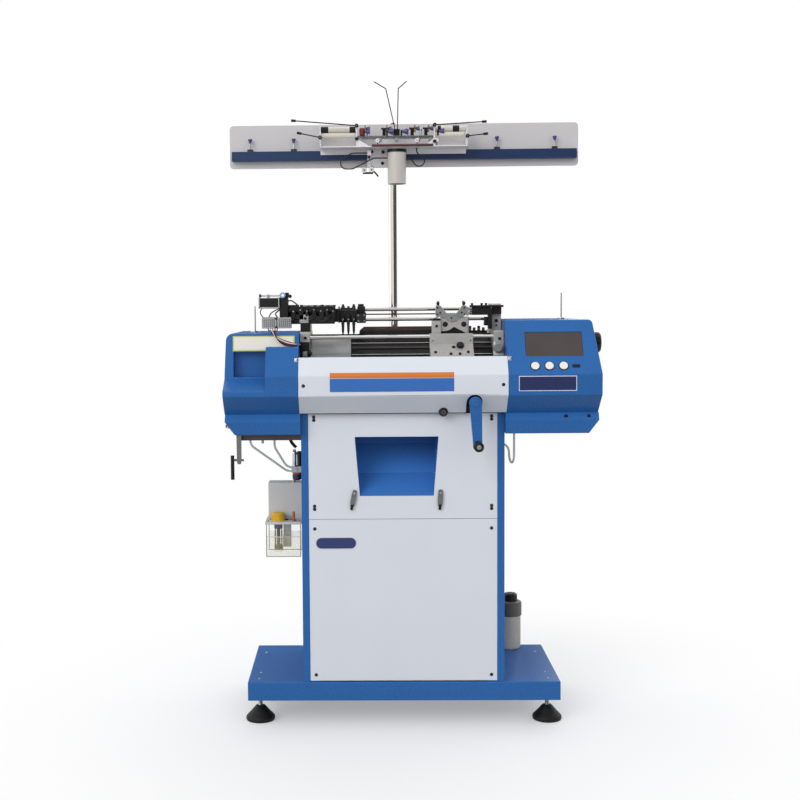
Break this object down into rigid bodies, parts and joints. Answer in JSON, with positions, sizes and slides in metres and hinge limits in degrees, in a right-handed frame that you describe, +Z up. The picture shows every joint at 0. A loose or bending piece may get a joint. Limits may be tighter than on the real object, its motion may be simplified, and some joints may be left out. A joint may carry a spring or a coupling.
{
  "type": "glove knitting machine",
  "caption": "Flat-bed glove knitting machine on a blue and white cabinet, with sliding cam carriage, hand crank, slanted console and a yarn rail with tension arms on a post.",
  "frame": {"origin": "on the floor under the middle of the overall box, cords left out", "axes": "+Z up, front with the console and crank towards -Y, +X to the right of a person in front of it"},
  "size_m": [1.1226, 0.567, 1.9443],
  "materials": {
    "blue_paint": "powder-coated sheet, semi-gloss",
    "white_paint": "powder-coated sheet, semi-gloss",
    "foot_rubber": "moulded rubber, matte",
    "belt_rubber": "toothed belt rubber, matte",
    "black_plastic": "moulded, fine grain",
    "purple_plastic": "moulded ceramic-like plastic, glossy",
    "white_plastic": "moulded, glossy",
    "red_plastic": "translucent dome, glossy",
    "yellow_plastic": "moulded, glossy",
    "grey_plastic": "moulded, satin",
    "clear_plastic": "clear acrylic, polished",
    "bottle_plastic": "translucent moulded bottle",
    "hose_plastic": "clear flexible tube",
    "bare_steel": "ground steel",
    "chrome_plate": "polished plating",
    "cast_metal": "cast, warm grey, matte",
    "dark_casting": "machined casting, oiled",
    "bed_steel": "blackened steel, oiled"
  },
  "bodies": {
    "machine": {"base_tray": "blue_paint", "levelling_feet": "foot_rubber", "left_side_panel": "blue_paint", "right_side_panel": "blue_paint", "rear_panel": "blue_paint", "upper_front_panel": "white_paint", "lower_front_panel": "white_paint", "glove_chute": "blue_paint", "panel_screws": "bare_steel", "head_frame": "dark_casting", "left_cover": "blue_paint", "right_cover": "blue_paint", "left_pan": "blue_paint", "right_pan": "blue_paint", "middle_cover": "white_paint", "rear_cover": "blue_paint", "display_panel": "black_plastic", "end_blocks": "cast_metal", "guide_rods": "chrome_plate", "front_needle_bed": "bed_steel", "rear_needle_bed": "dark_casting", "feeder_rack": "black_plastic", "feeder_drive": "bare_steel", "yarn_post": "chrome_plate", "rail_panel": "white_paint", "rail_channel": "blue_paint", "guide_posts": "purple_plastic", "tension_bracket": "white_paint", "tension_discs": "bare_steel", "yarn_wires": "chrome_plate", "alarm_lamp": "red_plastic", "work_lamp": "white_plastic", "cone_spindles": "chrome_plate", "pump_tank": "clear_plastic", "pump_housing": "grey_plastic", "air_valve": "bare_steel", "collection_bottle": "bottle_plastic", "drive_motor": "dark_casting", "drive_belt": "belt_rubber", "oil_hoses": "hose_plastic"},
    "carriage": {"cam_carriage": "cast_metal", "carriage_bridge": "cast_metal"},
    "yarn_carriage": {"yarn_carrier": "black_plastic"},
    "crank": {"hand_crank": "blue_paint", "drive_shaft": "bare_steel"},
    "grip": {"crank_grip": "black_plastic"},
    "motor_rotor": {"motor_pulley": "bare_steel"},
    "side_wheel": {"hand_wheel": "black_plastic"},
    "start_push_left": {"left_button": "white_plastic"},
    "start_push_middle": {"middle_button": "white_plastic"},
    "start_push_right": {"right_button": "white_plastic"},
    "stop_push": {"stop_button": "black_plastic"},
    "latch_left": {"left_latch": "black_plastic"},
    "latch_right": {"right_latch": "black_plastic"},
    "lever": {"stop_lever": "bare_steel"},
    "filler_cap": {"oil_cap": "yellow_plastic"},
    "arm_a": {"yarn_arm_a": "black_plastic"},
    "arm_b": {"yarn_arm_b": "black_plastic"},
    "arm_c": {"yarn_arm_c": "black_plastic"},
    "arm_d": {"yarn_arm_d": "black_plastic"}
  },
  "joints": [
    {"name": "carriage_slide", "type": "slide", "parent": "machine", "child": "carriage", "axis": [1, 0, 0], "range_m": [-0.35, 0.055]},
    {"name": "carrier_slide", "type": "slide", "parent": "machine", "child": "yarn_carriage", "axis": [1, 0, 0], "range_m": [-0.08, 0.37]},
    {"name": "crank_turn", "type": "hinge", "parent": "machine", "child": "crank", "pos_m": [0.17469, -0.2375, 0.976], "axis": [0, 1, 0], "continuous": true},
    {"name": "grip_spin", "type": "hinge", "parent": "crank", "child": "grip", "pos_m": [0.18075, -0.2635, 0.85215], "axis": [0, 1, 0], "continuous": true},
    {"name": "motor_turn", "type": "hinge", "parent": "machine", "child": "motor_rotor", "pos_m": [0.17469, 0.0985, 0.33], "axis": [0, 1, 0], "continuous": true},
    {"name": "wheel_turn", "type": "hinge", "parent": "machine", "child": "side_wheel", "pos_m": [0.54669, -0.0715, 1.143], "axis": [1, 0, 0], "continuous": true},
    {"name": "left_press", "type": "slide", "parent": "machine", "child": "start_push_left", "axis": [0, -0.8662, 0.4997], "range_m": [-0.003, 0], "stiffness_N_per_m": 400},
    {"name": "middle_press", "type": "slide", "parent": "machine", "child": "start_push_middle", "axis": [0, -0.8662, 0.4997], "range_m": [-0.003, 0], "stiffness_N_per_m": 400},
    {"name": "right_press", "type": "slide", "parent": "machine", "child": "start_push_right", "axis": [0, -0.8662, 0.4997], "range_m": [-0.003, 0], "stiffness_N_per_m": 400},
    {"name": "stop_press", "type": "slide", "parent": "machine", "child": "stop_push", "axis": [0, 1, 0], "range_m": [0, 0.004], "stiffness_N_per_m": 400},
    {"name": "left_latch_swing", "type": "hinge", "parent": "machine", "child": "latch_left", "pos_m": [-0.17731, -0.1465, 0.703], "axis": [0, 1, 0], "range_deg": [-90, 90]},
    {"name": "right_latch_swing", "type": "hinge", "parent": "machine", "child": "latch_right", "pos_m": [0.07869, -0.1465, 0.703], "axis": [0, 1, 0], "range_deg": [-90, 90]},
    {"name": "lever_swing", "type": "hinge", "parent": "machine", "child": "lever", "pos_m": [-0.51831, -0.1595, 0.905], "axis": [0, 1, 0], "range_deg": [-15, 15]},
    {"name": "oil_cap_turn", "type": "hinge", "parent": "machine", "child": "filler_cap", "pos_m": [-0.41231, -0.0345, 0.604], "axis": [0, 0, 1], "range_deg": [0, 90]},
    {"name": "arm_a_swing", "type": "hinge", "parent": "machine", "child": "arm_a", "pos_m": [-0.16381, 0.0265, 1.806], "axis": [0, 1, 0], "range_deg": [-15, 15], "stiffness_Nm_per_rad": 0.3},
    {"name": "arm_b_swing", "type": "hinge", "parent": "machine", "child": "arm_b", "pos_m": [-0.27481, 0.0145, 1.77], "axis": [0, 1, 0], "range_deg": [-15, 15], "stiffness_Nm_per_rad": 0.3},
    {"name": "arm_c_swing", "type": "hinge", "parent": "machine", "child": "arm_c", "pos_m": [0.07419, 0.0265, 1.806], "axis": [0, 1, 0], "range_deg": [-15, 15], "stiffness_Nm_per_rad": 0.3},
    {"name": "arm_d_swing", "type": "hinge", "parent": "machine", "child": "arm_d", "pos_m": [0.17319, 0.0145, 1.77], "axis": [0, 1, 0], "range_deg": [-15, 15], "stiffness_Nm_per_rad": 0.3}
  ],
  "couplings": [
    {"joint": "motor_turn", "follows": "crank_turn", "ratio": 2.5}
  ]
}
